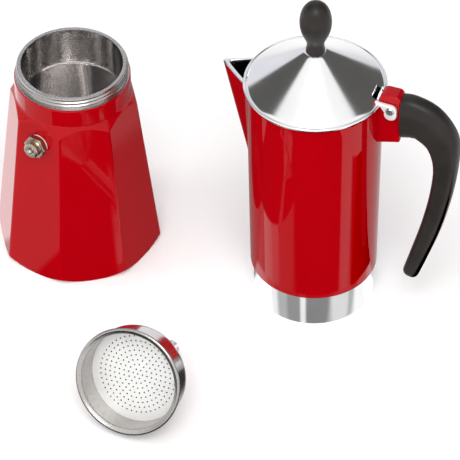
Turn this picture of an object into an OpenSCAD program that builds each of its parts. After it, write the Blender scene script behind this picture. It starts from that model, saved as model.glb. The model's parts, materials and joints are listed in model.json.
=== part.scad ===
// Stove-top moka pot, taken apart for cleaning: boiler, serving jug with its lid, and funnel.
// Millimetres, +Z up. The origin is the centre of the boiler's base, and +X points to the jug.

/* [Boiler] */
// Radius over the corners at the foot of the eight-sided body
boiler_foot_r = 43.5; // [42:0.1:45]
// Radius over the corners at the top of the eight-sided body
boiler_top_r = 33.2; // [32.6:0.1:34]
// Height of the corners at the top of the eight-sided body
boiler_shoulder_z = 92.8; // [88:0.1:94]
// Height of the foot's chamfer at the corners
foot_chamfer = 3.2; // [2:0.1:4]
// Turn of the body about its axis, which sets where the corners are
boiler_turn = 8.3; // [0:0.1:22]
// Thickness of the boiler's wall
boiler_wall = 2.8; // [2.4:0.1:3.2]
// Thickness of the boiler's floor
boiler_floor = 3.2; // [2.5:0.1:5]

/* [Neck and thread] */
// Outer radius of the painted part of the neck
neck_r = 29.6; // [29.4:0.1:30]
// Height at which the neck's bare thread begins
neck_bare_z = 108.8; // [107:0.1:110]
// Height of the neck's top edge
neck_top_z = 115.2; // [114:0.1:116]
// Radius of the neck's bore
neck_bore_r = 25.8; // [25:0.1:26]
// Radius over the crests of the neck's thread
thread_crest_r = 28.7; // [28.5:0.05:28.8]
// Depth of the thread
thread_depth = 0.7; // [0.5:0.05:0.8]
// Distance from one crest to the next
thread_pitch = 2.4; // [2.2:0.1:2.6]

/* [Safety valve] */
// Height of the valve's axis where it leaves the facet
valve_z = 84; // [78:0.5:86]
// Radius of the valve's shank
valve_shank_r = 3.5; // [3:0.1:4]
// Radius over the corners of the valve's hexagons
valve_hex_r = 6.4; // [6:0.1:7]
// Radius of the valve's pin
valve_pin_r = 1.35; // [1.2:0.05:1.35]
// Travel of the pin against its spring
valve_travel = 1.5; // [1:0.1:1.6]

/* [Jug] */
// Distance from the boiler's axis to the jug's axis, as they stand on the table
jug_x = 129.2; // [125:0.1:140]
// Outer radius of the jug's bare band at the bottom
band_bottom_r = 30.6; // [30.5:0.1:31]
// Outer radius of the band at its top
band_top_r = 31.1; // [31:0.1:31.6]
// Height of the band
band_h = 20; // [19:0.1:21]
// Outer radius of the painted wall at its foot
wall_bottom_r = 32.5; // [32.2:0.1:33]
// Outer radius of the painted wall at the rim
wall_top_r = 34; // [33.5:0.1:34.3]
// Height of the jug's rim
rim_z = 136.8; // [136:0.1:137]
// Thickness of the jug's wall
jug_wall = 2.2; // [2:0.1:2.4]
// Distance from the jug's axis to the tip of the spout
spout_tip = 49.2; // [47:0.1:50]
// Half the angle between the spout's two sides
spout_half_angle = 36; // [32:1:40]
// Lean of the spout's ridge from the vertical
spout_lean = 13; // [12:0.1:14]
// Height of the spout's tip above the rim
spout_rise = 3.8; // [3:0.1:4.5]

/* [Lid] */
// Outer radius of the lid
lid_r = 35.8; // [35.6:0.1:36]
// Height at which the lid's cone begins
lid_edge_z = 138.2; // [138:0.1:138.6]
// Height of the lid's flat top
lid_top_z = 159.2; // [156:0.1:161]
// Thickness of the lid
lid_sheet = 1.2; // [1:0.1:1.4]
// Distance from the jug's axis to the hinge pin
pin_x = 40.6; // [40.4:0.1:40.8]
// Height of the hinge pin
pin_z = 135.6; // [135.4:0.1:135.8]
// Radius of the hinge pin
pin_r = 1.5; // [1.4:0.05:1.5]
// Half the width of the jug's hinge bracket
bracket_half = 4; // [3.6:0.1:4]

/* [Knob] */
// Greatest radius of the knob
knob_r = 8; // [7:0.1:9]
// Height of the knob's egg
knob_h = 24; // [22:0.5:27]

/* [Handle] */
// Half the handle's thickness at its top
handle_half_top = 6.4; // [5.5:0.1:6.5]
// Half the handle's thickness at its tip
handle_half_tip = 4.4; // [4:0.1:5]

/* [Funnel] */
// Radius of the funnel's basket outside
basket_r = 25.4; // [24:0.1:25.5]
// Depth of the basket
basket_depth = 14; // [12:0.5:16]
// Radius of the rolled rim's bead
bead_r = 0.9; // [0.7:0.1:1.1]
// Length from the rim to the end of the stem
funnel_length = 58; // [50:1:75]
// Outer radius of the stem
stem_r = 4.5; // [4:0.1:5]
// Thickness of the funnel's sheet
funnel_sheet = 0.8; // [0.7:0.05:1]
// Turn of the lying funnel about the vertical
funnel_turn = -4; // [-20:1:30]
// Place of the funnel's rim on the table, along X and Y
funnel_place = [72.8, -124.5];

/* [Perforated plates] */
// Radius of one hole in the plates
hole_r = 0.45; // [0.35:0.05:0.55]
// Rings of holes in the funnel's plate
plate_rings = 8; // [6:1:8]
// Rings of holes in the jug's plate
filter_rings = 6; // [4:1:7]
// Thickness of the plates
plate_t = 0.8; // [0.6:0.1:1]

/* [Hidden] */

$fn = 96;
facets = 8;
big = 200;
eps = 0.01;
fit_gap = 0.06;

red = "#b4000f";
aluminium = "#c9c9cc";
bright_steel = "#b9b8b5";
brass_plate = "#b8ad98";
black = "#2a2725";
rubber_white = "#e6e3dc";

facet_cos = cos(180 / facets);
facet_tilt = atan((boiler_foot_r - boiler_top_r) * facet_cos / (boiler_shoulder_z - foot_chamfer));
foot_apothem = boiler_foot_r * facet_cos;
neck_foot_z = boiler_shoulder_z + (boiler_top_r - neck_r) * 1.3;
facet_azimuth = boiler_turn - 5 * 180 / facets;
thread_root_r = thread_crest_r - thread_depth;
thread_gap = 0.3;

seat_depth = 7;
seal_h = 2.8;
seat_lift = neck_top_z + 2 * bead_r - seat_depth;
first_crest_z = neck_bare_z + 2.2;
crest_count = 2;
gasket_r = 28.2;
gasket_bore_r = 23.2;

column_r = 4.8;
column_bore_r = 1.9;
column_foot_z = 18;
column_top_z = 104;

spout_depth = 27;
spout_wall = 2;
lip_inner_r = 30.3;
lip_outer_r = 31.2;
lug_inner = bracket_half + 0.4;
lug_t = 2;
pin_half = lug_inner + lug_t + 0.1;

tang_half = 2.5;
tang_z = [123, 136];
tang_reach = 54;
handle_face_x = 45.2;
screw_x = 50;
screw_r = 1.5;
// Centre line of the handle from the bracket to its tip: distance from the axis, height, half width
handle_line = [
    [45.2, 129, 12.4], [50.5, 129.8, 12.2], [58.6, 127, 11], [66.2, 117.6, 8.8], [68.4, 102.5, 6.3],
    [66.6, 82.6, 5.6], [62.2, 60.2, 5.2], [56.2, 38.2, 4.6], [52.6, 26, 4.2]
];
handle_steps = 6;

bead_centre_r = basket_r + bead_r + 0.6;
// The lying funnel rests on its basket's lower edge and on the end of its stem
basket_edge = basket_depth + 1;
funnel_tilt = atan((basket_r - stem_r) / (funnel_length - basket_edge));
funnel_z = basket_r * cos(funnel_tilt) + basket_edge * sin(funnel_tilt);
plate_r = basket_r - funnel_sheet - 0.05;
hole_ring_share = 0.81;

// Profile of the knob: radius and height above the lid's top
knob_profile = [
    [0, 0], [4.7, 0], [4.85, 0.8], [4.5, 2.6], [4.35, 5], [4.9, 7.4], [6.4, 11], [7.5, 14.6], [8, 18.6],
    [7.8, 22.6], [6.8, 26.4], [5, 29.4], [2.6, 31.2], [0, 31.8]
];

// Point on a smooth curve through p1 and p2, with p0 and p3 as their neighbours
function smooth_point(p0, p1, p2, p3, t) =
    0.5 * (2 * p1 + (p2 - p0) * t + (2 * p0 - 5 * p1 + 4 * p2 - p3) * t * t
    + (3 * p1 - p0 - 3 * p2 + p3) * t * t * t);

// The same curve through a whole list of points
function smooth_line(pts, steps) = [
    for (i = [0 : len(pts) - 2]) for (k = [0 : steps - 1])
        smooth_point(pts[max(i - 1, 0)], pts[i], pts[i + 1], pts[min(i + 2, len(pts) - 1)], k / steps),
    pts[len(pts) - 1]
];

// Unit direction of a line of points at point i, in its first two coordinates
function heading(line, i) =
    let (a = line[max(i - 1, 0)], b = line[min(i + 1, len(line) - 1)], d = [b[0] - a[0], b[1] - a[1]])
    d / norm(d);

// Outline of a band that follows a line of [x, y, half width], with a round far end
function band_outline(line) =
    let (
        last = len(line) - 1,
        end = line[last],
        end_turn = atan2(heading(line, last)[1], heading(line, last)[0])
    )
    concat(
        [for (i = [0 : last]) let (h = heading(line, i))
            [line[i][0] - h[1] * line[i][2], line[i][1] + h[0] * line[i][2]]],
        [for (a = [75 : -15 : -75])
            [end[0] + end[2] * cos(end_turn + a), end[1] + end[2] * sin(end_turn + a)]],
        [for (i = [last : -1 : 0]) let (h = heading(line, i))
            [line[i][0] + h[1] * line[i][2], line[i][1] - h[0] * line[i][2]]]
    );

// Everything outside the eight tilted facets, moved inwards by inset, up to a height
module outside_facets(inset, height) {
    for (i = [0 : facets - 1])
        rotate([0, 0, boiler_turn + (i + 0.5) * 360 / facets])
            translate([foot_apothem - inset, 0, foot_chamfer])
                rotate([0, -facet_tilt, 0])
                    translate([0, -big / 2, -20])
                        cube([big, big, height + 20 - foot_chamfer]);
}

// Ring-shaped thread crests outside a neck
module outer_crests(first_z, count) {
    for (i = [0 : count - 1])
        translate([0, 0, first_z + i * thread_pitch])
            rotate_extrude()
                polygon([
                    [thread_root_r - 0.5, -0.9], [thread_root_r, -0.9], [thread_crest_r, -0.35],
                    [thread_crest_r, 0.35], [thread_root_r, 0.9], [thread_root_r - 0.5, 0.9]
                ]);
}

// Ring-shaped grooves that hold the neck's crests with room all round
module inner_grooves(first_z, count) {
    for (i = [0 : count - 1])
        translate([0, 0, first_z + i * thread_pitch])
            rotate_extrude()
                polygon([
                    [thread_root_r, -1.25], [thread_root_r + thread_gap, -1.2],
                    [thread_crest_r + thread_gap, -0.65], [thread_crest_r + thread_gap, 0.65],
                    [thread_root_r + thread_gap, 1.2], [thread_root_r, 1.25]
                ]);
}

// Places its children on the valve's axis, with +Z out of the facet
module at_valve() {
    rotate([0, 0, facet_azimuth])
        translate([foot_apothem - (valve_z - foot_chamfer) * tan(facet_tilt), 0, valve_z])
            rotate([0, 90 - facet_tilt, 0])
                children();
}

// Places its children on the jug's axis
module at_jug() {
    translate([jug_x, 0, 0])
        children();
}

// Places its children on the lying funnel, with +Z out of its mouth
module at_funnel() {
    translate([funnel_place[0], funnel_place[1], funnel_z])
        rotate([90 - funnel_tilt, 0, funnel_turn])
            children();
}

// Hexagon with a round hole
module hex_ring(corner_r, hole, height) {
    difference() {
        cylinder(r = corner_r, h = height, $fn = 6);
        translate([0, 0, -1])
            cylinder(r = hole, h = height + 2, $fn = 48);
    }
}

// Disc drilled with rings of holes, six more in each ring than in the last
module perforated_disc(disc_r, thickness, rings) {
    ring_step = disc_r * hole_ring_share / rings;
    difference() {
        cylinder(r = disc_r, h = thickness);
        translate([0, 0, -1])
            cylinder(r = hole_r, h = thickness + 2, $fn = 16);
        for (k = [1 : rings])
            for (i = [0 : 6 * k - 1])
                rotate([0, 0, i * 60 / k])
                    translate([k * ring_step, 0, -1])
                        cylinder(r = hole_r, h = thickness + 2, $fn = 16);
    }
}

// Coil of round wire about Z
module coil(mean_r, wire_r, low, high, turns) {
    sides = 8;
    rings = turns * 12;
    points = [
        for (i = [0 : rings]) for (j = [0 : sides - 1])
            let (a = 360 * i / 12, b = 360 * j / sides, r = mean_r + wire_r * cos(b))
            [r * cos(a), r * sin(a), low + (high - low) * i / rings + wire_r * sin(b)]
    ];
    walls = [
        for (i = [0 : rings - 1]) for (j = [0 : sides - 1])
            let (n = (j + 1) % sides)
            [i * sides + j, (i + 1) * sides + j, (i + 1) * sides + n, i * sides + n]
    ];
    near_end = [[for (j = [0 : sides - 1]) j]];
    far_end = [[for (j = [sides - 1 : -1 : 0]) rings * sides + j]];
    polyhedron(points, concat(walls, near_end, far_end), convexity = 8);
}

module boiler() {
    inner_top_r = boiler_top_r - boiler_wall - 0.4;
    color(red)
        difference() {
            rotate_extrude()
                polygon([
                    [0, 0], [boiler_foot_r - foot_chamfer, 0], [boiler_foot_r, foot_chamfer],
                    [boiler_top_r, boiler_shoulder_z], [neck_r, neck_foot_z], [neck_r, neck_bare_z],
                    [thread_root_r, neck_bare_z + 0.4], [thread_root_r, neck_top_z], [0, neck_top_z]
                ]);
            outside_facets(0, neck_foot_z + 1);
            difference() {
                rotate_extrude()
                    polygon([
                        [0, boiler_floor], [boiler_foot_r - 6, boiler_floor],
                        [boiler_foot_r - 3.4, boiler_floor + 3], [inner_top_r, boiler_shoulder_z - 4],
                        [neck_bore_r, boiler_shoulder_z + 0.6], [0, boiler_shoulder_z + 0.6]
                    ]);
                outside_facets(boiler_wall, neck_foot_z + 1);
            }
            translate([0, 0, boiler_shoulder_z])
                cylinder(r = neck_bore_r, h = big);
            at_valve()
                translate([0, 0, -boiler_wall - 3])
                    cylinder(r = valve_shank_r + 0.1, h = boiler_wall + 6, $fn = 48);
        }
    color(red)
        difference() {
            outer_crests(first_crest_z, crest_count);
            cylinder(r = neck_bore_r + 1, h = big);
        }
}

module valve_body() {
    color(bright_steel)
        at_valve()
            difference() {
                union() {
                    translate([0, 0, -6])
                        cylinder(r = valve_shank_r, h = 7, $fn = 48);
                    translate([0, 0, 0.8])
                        cylinder(r = valve_hex_r, h = 3.2, $fn = 6);
                    translate([0, 0, 3.9])
                        cylinder(r = 4.3, h = 2.7, $fn = 48);
                    translate([0, 0, 6.6 - eps])
                        cylinder(r1 = 4.3, r2 = 3.5, h = 0.8, $fn = 48);
                }
                translate([0, 0, -4.5])
                    cylinder(r = 2.3, h = 10.1, $fn = 48);
                translate([0, 0, -7])
                    cylinder(r = 1.2, h = 4, $fn = 48);
                cylinder(r = valve_pin_r + fit_gap, h = 10, $fn = 48);
            }
}

module valve_washer() {
    color(rubber_white)
        at_valve()
            difference() {
                cylinder(r = 5.5, h = 0.8, $fn = 48);
                translate([0, 0, -1])
                    cylinder(r = valve_shank_r + 0.1, h = 3, $fn = 48);
            }
}

module valve_nut() {
    color(bright_steel)
        at_valve()
            translate([0, 0, -boiler_wall - 2.8])
                hex_ring(valve_hex_r - 0.6, valve_shank_r + 0.05, 2.7);
}

module valve_spring() {
    color(bright_steel)
        at_valve()
            coil(1.85, 0.22, -2.9, 5.3, 7);
}

module valve_pin() {
    color(bright_steel)
        at_valve() {
            translate([0, 0, -4.45])
                cylinder(r = 2.15, h = 1.25, $fn = 48);
            translate([0, 0, -3.3])
                cylinder(r = valve_pin_r, h = 11.6, $fn = 48);
            translate([0, 0, 8.3 - eps])
                cylinder(r1 = valve_pin_r, r2 = 0.7, h = 0.6, $fn = 48);
        }
}

// Prism of the spout's V section, with its ridge through the tip
module spout_prism(inset) {
    depth = spout_depth - inset;
    half_w = depth * tan(spout_half_angle);
    translate([-spout_tip + inset / sin(spout_half_angle), 0, rim_z + spout_rise])
        rotate([0, -spout_lean, 0])
            translate([0, 0, -110])
                linear_extrude(115)
                    polygon([[0, 0.7], [0, -0.7], [depth, -half_w], [depth, half_w]]);
}

// Everything above the jug's rim and the spout's rising lip
module above_rim() {
    lip_x = lid_r + 0.5;
    rotate([90, 0, 0])
        translate([0, 0, -big / 2])
            linear_extrude(big)
                polygon([
                    [big, rim_z], [-lip_x, rim_z], [-spout_tip, rim_z + spout_rise],
                    [-spout_tip - 10, rim_z + spout_rise + 3], [-big, big], [big, big]
                ]);
}

// Side view of the hinge bracket, from the jug's wall to the handle
module bracket_side() {
    polygon([
        [32.4, 111], [handle_face_x - 0.6, 114], [handle_face_x, 115], [handle_face_x, 141.6],
        [handle_face_x - 1.6, 143.2], [37, 143.4], [35, 142.4], [34, 140], [33.6, rim_z], [32.4, rim_z - 1]
    ]);
}

module jug() {
    dish_z = seat_depth + seal_h;
    socket_r = thread_root_r + thread_gap;
    color(red)
        at_jug()
            difference() {
                union() {
                    difference() {
                        union() {
                            rotate_extrude()
                                polygon([
                                    [0, 0], [band_bottom_r - 0.4, 0],
                                    [band_bottom_r, 0.5], [band_top_r, band_h],
                                    [wall_bottom_r - 0.3, band_h], [wall_bottom_r, band_h + 0.6],
                                    [wall_top_r, rim_z + 6], [0, rim_z + 6]
                                ]);
                            spout_prism(0);
                        }
                        above_rim();
                        difference() {
                            union() {
                                rotate_extrude()
                                    polygon([
                                        [0, 22], [8, 21.4], [band_top_r - jug_wall - 3.2, 14.6],
                                        [band_top_r - jug_wall - 0.4, 17],
                                        [band_top_r - jug_wall - 0.4, band_h],
                                        [wall_bottom_r - jug_wall, band_h + 4],
                                        [wall_top_r - jug_wall, rim_z + 10],
                                        [0, rim_z + 10]
                                    ]);
                                spout_prism(spout_wall);
                            }
                            translate([-big, -big / 2, 0])
                                cube([big - wall_bottom_r + jug_wall + 3, big, 40]);
                        }
                    }
                    rotate([90, 0, 0])
                        translate([0, 0, -bracket_half])
                            linear_extrude(2 * bracket_half)
                                bracket_side();
                    translate([handle_face_x - 1, -tang_half, tang_z[0]])
                        cube([tang_reach - handle_face_x + 1, 2 * tang_half, tang_z[1] - tang_z[0]]);
                }
                translate([0, 0, -1])
                    cylinder(r = socket_r, h = 1 + dish_z);
                translate([0, 0, -1])
                    cylinder(r1 = socket_r + 1.5, r2 = socket_r, h = 1.8);
                inner_grooves(first_crest_z - seat_lift, crest_count);
                translate([0, 0, dish_z - eps])
                    cylinder(r1 = 20, r2 = column_r, h = 6.5);
                cylinder(r = column_r + 0.02, h = 40);
                translate([pin_x, 0, pin_z])
                    rotate([90, 0, 0])
                        cylinder(r = pin_r + fit_gap, h = 20, center = true, $fn = 48);
                translate([screw_x, 0, tang_z[0] - 5])
                    cylinder(r = screw_r + fit_gap, h = 30, $fn = 48);
            }
}

module coffee_column() {
    color(aluminium)
        at_jug()
            difference() {
                union() {
                    translate([0, 0, column_foot_z])
                        cylinder(r = column_r, h = 8, $fn = 64);
                    translate([0, 0, column_foot_z + 8 - eps])
                        cylinder(
                            r1 = column_r,
                            r2 = column_r - 0.9,
                            h = column_top_z - column_foot_z - 8,
                            $fn = 64
                        );
                }
                translate([0, 0, column_foot_z - 1])
                    cylinder(r = column_bore_r, h = big, $fn = 48);
                translate([0, 0, column_top_z - 7])
                    rotate([90, 0, 0])
                        cylinder(r = 1.6, h = 20, center = true, $fn = 32);
                translate([0, 0, column_top_z - 2])
                    cylinder(r = 2.6, h = 5, $fn = 48);
            }
}

module column_cap() {
    color(aluminium)
        at_jug()
            translate([0, 0, column_top_z])
                rotate_extrude()
                    polygon([
                        [0, -1.9], [2.55, -1.9], [2.55, 0], [4.6, 0],
                        [4.7, 0.5], [4.2, 1.6], [2.6, 2.4], [0, 2.7]
                    ]);
}

module filter_plate() {
    color(brass_plate)
        at_jug()
            translate([0, 0, seat_depth + 1])
                perforated_disc(gasket_bore_r - 0.02, plate_t, filter_rings);
}

module gasket() {
    color(rubber_white)
        at_jug()
            translate([0, 0, seat_depth])
                difference() {
                    cylinder(r = gasket_r, h = seal_h - 0.02);
                    translate([0, 0, -1])
                        cylinder(r = gasket_bore_r, h = seal_h + 2);
                }
}

// Side view of one of the lid's two hinge lugs
module lug_side() {
    polygon([
        [32.6, rim_z + 0.5], [32.6, lid_edge_z + 1.6], [34.2, lid_edge_z + 1.1], [pin_x, pin_z + 3.2],
        [pin_x + 2.6, pin_z + 2], [pin_x + 3.2, pin_z], [pin_x + 3.2, pin_z - 3], [pin_x - 3, pin_z - 2],
        [35.6, rim_z + 0.2]
    ]);
    translate([pin_x, pin_z])
        circle(r = 3.2, $fn = 48);
    translate([pin_x, pin_z - 2.8])
        circle(r = 3.2, $fn = 48);
}

module lid() {
    slope = (lid_top_z - lid_edge_z) / (lid_r - 5.4);
    lip_z = lid_edge_z + slope * (lid_r - 0.4 - lip_inner_r) - lid_sheet * 1.2;
    color(aluminium)
        at_jug()
            difference() {
                union() {
                    rotate_extrude()
                        polygon([
                            [0, lid_top_z - lid_sheet], [5, lid_top_z - lid_sheet], [lip_inner_r, lip_z],
                            [lip_inner_r, rim_z - 1.4], [lip_outer_r, rim_z - 1.4],
                            [lip_outer_r, rim_z + 0.2], [lid_r - 0.5, rim_z + 0.2], [lid_r, rim_z + 0.6],
                            [lid_r, lid_edge_z - 0.3], [lid_r - 0.4, lid_edge_z],
                            [5, lid_top_z], [0, lid_top_z]
                        ]);
                    for (side = [-1, 1])
                        translate([0, side * (lug_inner + lug_t / 2) + lug_t / 2, 0])
                            rotate([90, 0, 0])
                                linear_extrude(lug_t)
                                    lug_side();
                }
                translate([30.4, -lug_inner, rim_z - 20])
                    cube([30, 2 * lug_inner, 40]);
                cylinder(r = 1.6, h = big, $fn = 48);
                translate([pin_x, 0, pin_z])
                    rotate([90, 0, 0])
                        cylinder(r = pin_r + fit_gap, h = 30, center = true, $fn = 48);
            }
}

module lid_knob() {
    profile = smooth_line(knob_profile, 3);
    stretch_r = knob_r / 8;
    color(black)
        at_jug()
            translate([0, 0, lid_top_z])
                difference() {
                    rotate_extrude()
                        polygon([for (p = profile) [max(p[0], 0) * stretch_r, max(p[1], 0) * knob_h / 25]]);
                    translate([0, 0, -1])
                        cylinder(r = 1.56, h = 15, $fn = 48);
                }
}

module knob_screw() {
    color(bright_steel)
        at_jug()
            difference() {
                union() {
                    translate([0, 0, lid_top_z - lid_sheet - 2.4])
                        cylinder(r = 3, h = 1.6, $fn = 48);
                    translate([0, 0, lid_top_z - lid_sheet - 1])
                        cylinder(r = 1.5, h = 14, $fn = 48);
                }
                translate([-4, -0.35, lid_top_z - lid_sheet - 3])
                    cube([8, 0.7, 1.4]);
            }
}

module knob_washer() {
    color(bright_steel)
        at_jug()
            translate([0, 0, lid_top_z - lid_sheet - 0.8])
                difference() {
                    cylinder(r = 4.2, h = 0.78, $fn = 48);
                    translate([0, 0, -1])
                        cylinder(r = 1.6, h = 3, $fn = 48);
                }
}

module lid_hinge_pin() {
    color(bright_steel)
        at_jug()
            translate([pin_x, 0, pin_z])
                rotate([90, 0, 0]) {
                    cylinder(r = pin_r, h = 2 * pin_half, center = true, $fn = 48);
                    for (side = [0, 180])
                        rotate([side, 0, 0])
                            translate([0, 0, pin_half - eps])
                                cylinder(r1 = 2.3, r2 = 1.7, h = 0.9, $fn = 48);
                }
}

module handle() {
    tip_z = 20;
    top_z = 145;
    color(black)
        at_jug()
            difference() {
                intersection() {
                    rotate([90, 0, 0])
                        translate([0, 0, -10])
                            linear_extrude(20)
                                polygon(band_outline(smooth_line(handle_line, handle_steps)));
                    rotate([90, 0, 90])
                        linear_extrude(big)
                            polygon([
                                [-handle_half_tip, tip_z], [handle_half_tip, tip_z], [handle_half_top, 110],
                                [handle_half_top, top_z], [-handle_half_top, top_z], [-handle_half_top, 110]
                            ]);
                }
                translate([0, -big / 2, 0])
                    cube([handle_face_x + 0.03, big, big]);
                translate([handle_face_x - 2, -tang_half - 0.05, tang_z[0] - 0.05])
                    cube([
                        tang_reach - handle_face_x + 2.5,
                        2 * tang_half + 0.1,
                        tang_z[1] - tang_z[0] + 0.1
                    ]);
                translate([screw_x, 0, 110])
                    cylinder(r = screw_r + 0.1, h = 28, $fn = 48);
                translate([screw_x, 0, 110])
                    cylinder(r = 3, h = 10, $fn = 48);
            }
}

module handle_screw() {
    color(bright_steel)
        at_jug()
            translate([screw_x, 0, 0])
                difference() {
                    union() {
                        translate([0, 0, 118])
                            cylinder(r = 2.8, h = 1.9, $fn = 48);
                        translate([0, 0, 119])
                            cylinder(r = screw_r, h = 15.5, $fn = 48);
                    }
                    translate([-4, -0.35, 117])
                        cube([8, 0.7, 1.8]);
                }
}

module funnel() {
    cone_h = 9;
    bowl_z = -basket_depth;
    neck_z = bowl_z - 1.6 - cone_h;
    color(bright_steel)
        at_funnel() {
            rotate_extrude()
                polygon([
                    [basket_r - funnel_sheet, 0.1], [basket_r - funnel_sheet, bowl_z],
                    [basket_r - funnel_sheet - 1.2, bowl_z], [basket_r - funnel_sheet - 1.2, bowl_z - 1.4],
                    [stem_r - funnel_sheet, neck_z], [stem_r - funnel_sheet, -funnel_length],
                    [stem_r, -funnel_length], [stem_r, neck_z - 0.4], [basket_r - 0.6, bowl_z - 1.6],
                    [basket_r, -basket_edge], [basket_r, -0.3], [bead_centre_r, -0.3], [bead_centre_r, 0.3],
                    [basket_r, 0.5]
                ]);
            rotate_extrude()
                translate([bead_centre_r, 0])
                    circle(r = bead_r, $fn = 24);
        }
}

module funnel_plate() {
    color(brass_plate)
        at_funnel()
            translate([0, 0, -basket_depth + 0.02])
                perforated_disc(plate_r, plate_t, plate_rings);
}

boiler();
valve_body();
valve_washer();
valve_nut();
valve_spring();
valve_pin();
jug();
coffee_column();
column_cap();
filter_plate();
gasket();
lid();
lid_knob();
knob_screw();
knob_washer();
lid_hinge_pin();
handle();
handle_screw();
funnel();
funnel_plate();
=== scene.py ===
import json
import math

import bmesh
import bpy
import numpy as np
from mathutils import Matrix, Vector


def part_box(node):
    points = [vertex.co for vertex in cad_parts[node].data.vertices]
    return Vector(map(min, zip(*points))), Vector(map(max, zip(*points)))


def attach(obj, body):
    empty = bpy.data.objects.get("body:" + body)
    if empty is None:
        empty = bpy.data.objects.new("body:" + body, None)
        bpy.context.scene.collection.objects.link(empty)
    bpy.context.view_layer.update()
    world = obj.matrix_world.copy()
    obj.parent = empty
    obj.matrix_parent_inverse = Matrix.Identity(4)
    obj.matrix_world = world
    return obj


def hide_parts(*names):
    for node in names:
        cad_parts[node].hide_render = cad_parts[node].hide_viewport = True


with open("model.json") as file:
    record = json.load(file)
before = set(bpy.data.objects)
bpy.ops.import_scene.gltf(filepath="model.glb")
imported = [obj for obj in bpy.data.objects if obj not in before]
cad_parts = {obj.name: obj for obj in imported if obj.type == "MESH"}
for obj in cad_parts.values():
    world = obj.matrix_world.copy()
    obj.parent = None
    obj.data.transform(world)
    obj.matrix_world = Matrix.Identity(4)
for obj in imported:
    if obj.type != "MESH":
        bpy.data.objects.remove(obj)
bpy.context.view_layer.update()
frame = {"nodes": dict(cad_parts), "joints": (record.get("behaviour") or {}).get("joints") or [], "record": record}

MM = 0.001
TAU = 2 * math.pi


# ---------------------------------------------------------------- places, from the frame

def box_centre(node):
    low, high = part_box(node)
    return (low + high) / 2


def joint(name):
    return next(j for j in frame["joints"] if j["name"] == name)


JUG_X = box_centre("gasket").x / MM
PIN = Vector(joint("lid_hinge")["pos_m"]) / MM
VALVE_OUT = Vector(joint("valve_pin_slide")["axis"]).normalized()

# ---------------------------------------------------------------- sizes in millimetres

# Boiler
NECK_TOP = 115.2
NECK_BARE = 108.8
NECK_R = 29.6
NECK_BORE = 25.8
THREAD_ROOT = 28.0
THREAD_CREST = 28.65
THREAD_PITCH = 2.1
FOOT_R = 43.5
FOOT_CHAMFER = 3.2
SHOULDER_R = 33.2
SHOULDER_Z = 92.8
SHOULDER_FALL = 1.3
BOILER_TURN = math.radians(8.3)
BOILER_WALL = 2.8
BOILER_FLOOR = 3.2
# Safety valve, along its own axis
VALVE_HEX_R = 6.4
VALVE_SHANK_R = 3.4
WASHER_HALF = 0.4
# Jug, standing on the table
RIM_Z = 136.8
BAND_H = 20.0
BAND_R = 30.6
WALL_FOOT_R = 32.5
WALL_T = 2.2
WALL_FLARE = 1.5
SEAT_LIFT = 110.0
SKIRT_THREAD_R = 28.33
SKIRT_THREAD_DEPTH = 0.6
COLUMN_HOLE_R = 4.85
SPOUT_TIP = 49.2
SPOUT_START = 36.3
SPOUT_RISE = 3.8
SPOUT_HALF_ANGLE = math.radians(36)
SPOUT_SLOPE = math.tan(math.radians(13))
# Lid
LID_R = 35.8
LID_CONE_R = 34.4
LID_TOP_R = 5.2
LID_PLUG_R = 31.2
LID_SHEET = 1.5
LID_EDGE = 138.2
LID_TOP = 159.2
BRACKET_HALF = 4.0
LUG_INNER = 4.4
LUG_T = 2.0
LUG_R = 3.2
# Funnel, measured from its rim towards its stem
FUNNEL_L = 58.0
FUNNEL_TURN = math.radians(-4)
PLATE_FRONT = 0.42
BASKET_R = 25.4
BASKET_DEPTH = 14.0
BASKET_EDGE = BASKET_DEPTH + 1
FUNNEL_SHEET = 0.8
STEM_R = 4.5
BEAD_R = 0.9
BEAD_RING = 26.9


# ---------------------------------------------------------------- mesh helpers

def new_object(name, mesh):
    obj = bpy.data.objects.new(name, mesh)
    bpy.context.scene.collection.objects.link(obj)
    return obj


def grid_mesh(name, points, loop=False, poles=False):
    """Mesh from points[ring][segment]; segments always wrap, rings wrap when loop is true.
    With poles, the first and the last ring are closed with a fan to their centre."""
    rings, segs, _ = points.shape
    verts = [tuple(p) for p in points.reshape(-1, 3) * MM]
    faces, ring_of = [], []
    last = rings if loop else rings - 1
    for i in range(last):
        n = (i + 1) % rings
        for j in range(segs):
            k = (j + 1) % segs
            faces.append((i * segs + j, i * segs + k, n * segs + k, n * segs + j))
            ring_of.append(i)
    if poles:
        for i, flip in ((0, True), (rings - 1, False)):
            centre = len(verts)
            verts.append(tuple(points[i].mean(axis=0) * MM))
            for j in range(segs):
                k = (j + 1) % segs
                tri = (i * segs + j, i * segs + k, centre)
                faces.append(tri[::-1] if flip else tri)
                ring_of.append(min(i, last - 1))
    mesh = bpy.data.meshes.new(name)
    mesh.from_pydata(verts, [], faces)
    mesh.validate()
    mesh.polygons.foreach_set("use_smooth", [True] * len(mesh.polygons))
    mesh.update()
    return mesh, ring_of


def outward(mesh):
    """Turns every face of a closed mesh to the outside."""
    bm = bmesh.new()
    bm.from_mesh(mesh)
    bmesh.ops.recalc_face_normals(bm, faces=bm.faces)
    bm.to_mesh(mesh)
    bm.free()
    mesh.update()


def sharpen(mesh, degrees=32):
    mesh.set_sharp_from_angle(angle=math.radians(degrees))


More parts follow.
